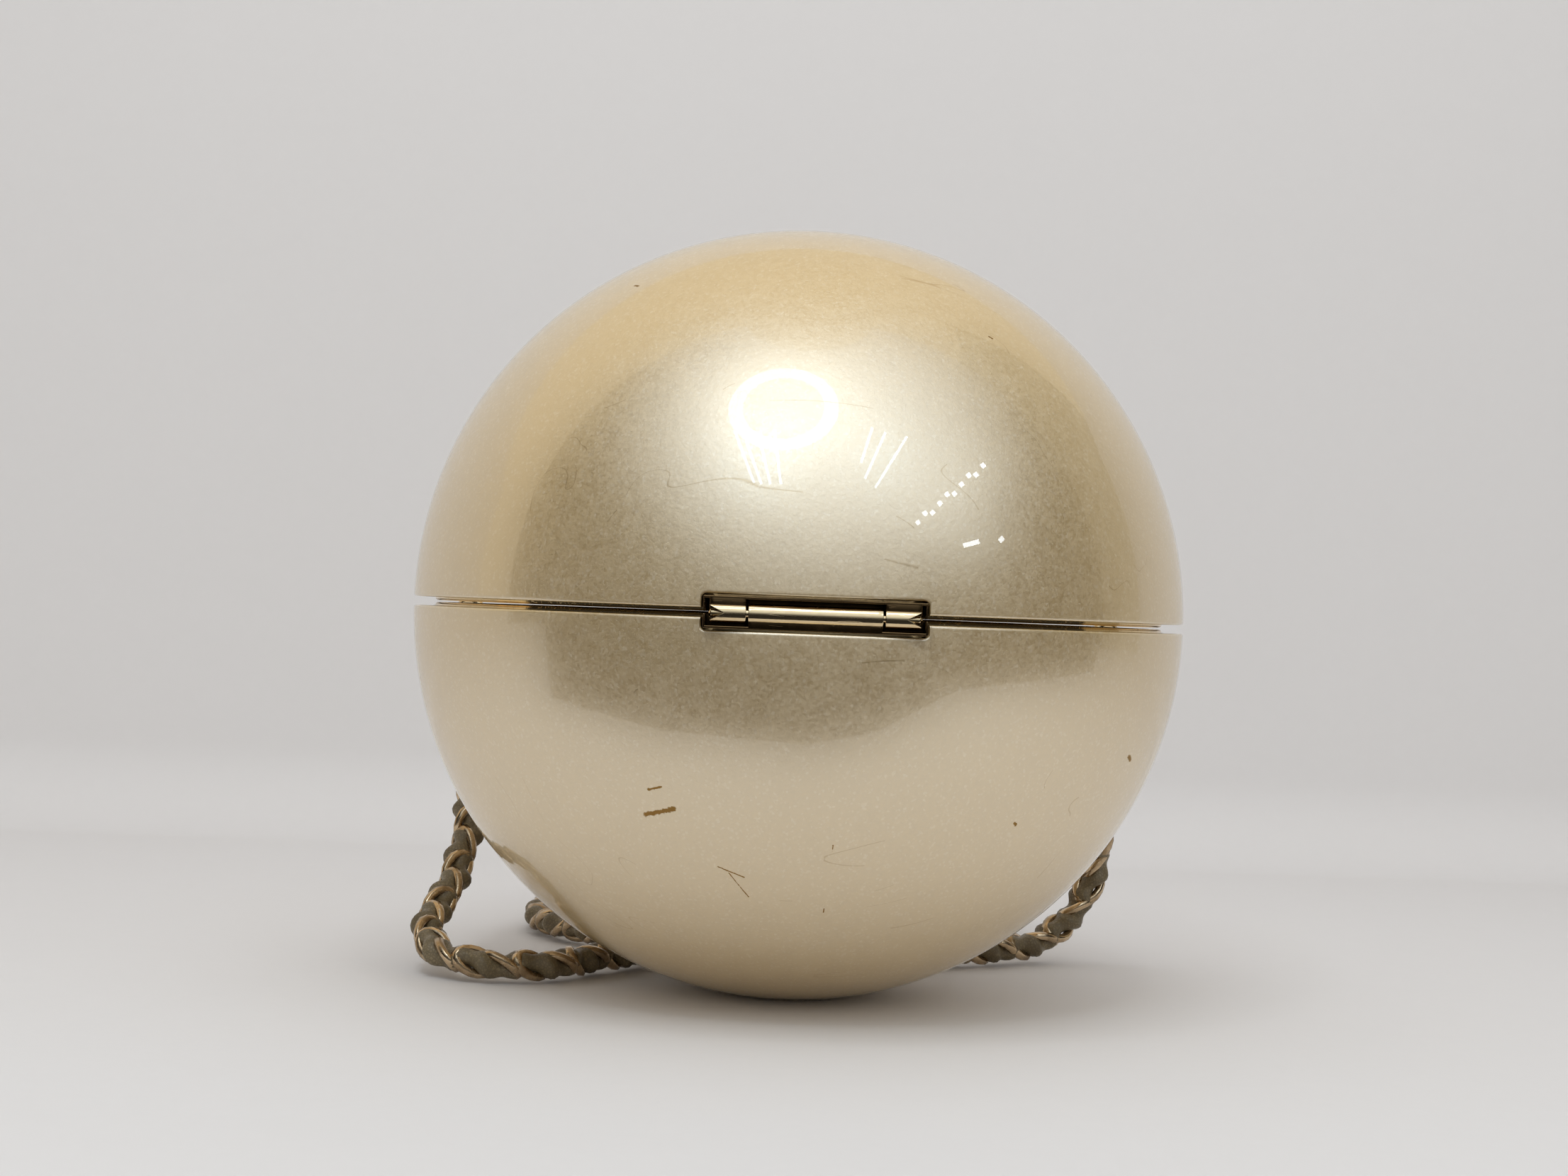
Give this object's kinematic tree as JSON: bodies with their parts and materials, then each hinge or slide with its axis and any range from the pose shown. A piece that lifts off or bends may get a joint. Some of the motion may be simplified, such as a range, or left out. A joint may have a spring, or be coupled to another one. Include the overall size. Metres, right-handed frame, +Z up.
{
  "type": "ball-shaped hard evening case",
  "caption": "Ball-shaped hard case: two glossy half shells on metal rims, a sunk knuckle hinge, a push-button clasp and a laced chain strap.",
  "frame": {"origin": "middle of the small flat under the ball, on the surface that it stands on", "axes": "+Z up through the ball's centre, +Y towards the clasp at the front, -Y towards the hinge, +X to the right seen from the hinge side"},
  "size_m": [0.12, 0.1965, 0.1195],
  "materials": {
    "pearl_resin": "cast resin with a pearl and fine flake coat under clear gloss",
    "pale_gold": "polished, plated pale gold",
    "spring_steel": "bright steel",
    "lining_leather": "soft matt lambskin",
    "strap_leather": "flat lace, smooth, taupe grey"
  },
  "bodies": {
    "base": {"lower_shell": "pearl_resin", "lower_rim": "pale_gold", "lower_lining": "lining_leather", "lower_hinge_leaf": "pale_gold", "lower_hinge_rivet_left": "pale_gold", "lower_hinge_rivet_right": "pale_gold", "hinge_pin": "pale_gold", "clasp_plate": "pale_gold", "clasp_housing": "pale_gold", "clasp_spring": "spring_steel", "housing_screw_left": "pale_gold", "housing_screw_right": "pale_gold", "chain_lug_left": "pale_gold", "chain_lug_right": "pale_gold", "chain_ring_left": "pale_gold", "chain_ring_right": "pale_gold", "chain_left_run": "strap_leather", "chain_right_run": "strap_leather", "chain_coil": "strap_leather"},
    "lid": {"upper_shell": "pearl_resin", "upper_rim": "pale_gold", "upper_lining": "lining_leather", "upper_hinge_leaf": "pale_gold", "upper_hinge_rivet_left": "pale_gold", "upper_hinge_rivet_right": "pale_gold", "lid_catch": "spring_steel", "catch_screw_left": "pale_gold", "catch_screw_right": "pale_gold"},
    "button": {"clasp_button": "pale_gold", "clasp_latch": "spring_steel", "latch_nut": "pale_gold"}
  },
  "joints": [
    {"name": "lid_hinge", "type": "hinge", "parent": "base", "child": "lid", "pos_m": [0, -0.0584, 0.05946], "axis": [1, 0, 0], "range_deg": [0, 95]},
    {"name": "button_press", "type": "slide", "parent": "base", "child": "button", "axis": [0, -1, 0], "range_m": [0, 0.0012], "stiffness_N_per_m": 900, "springref_m": -0.002, "deforming": ["clasp_spring"]}
  ]
}
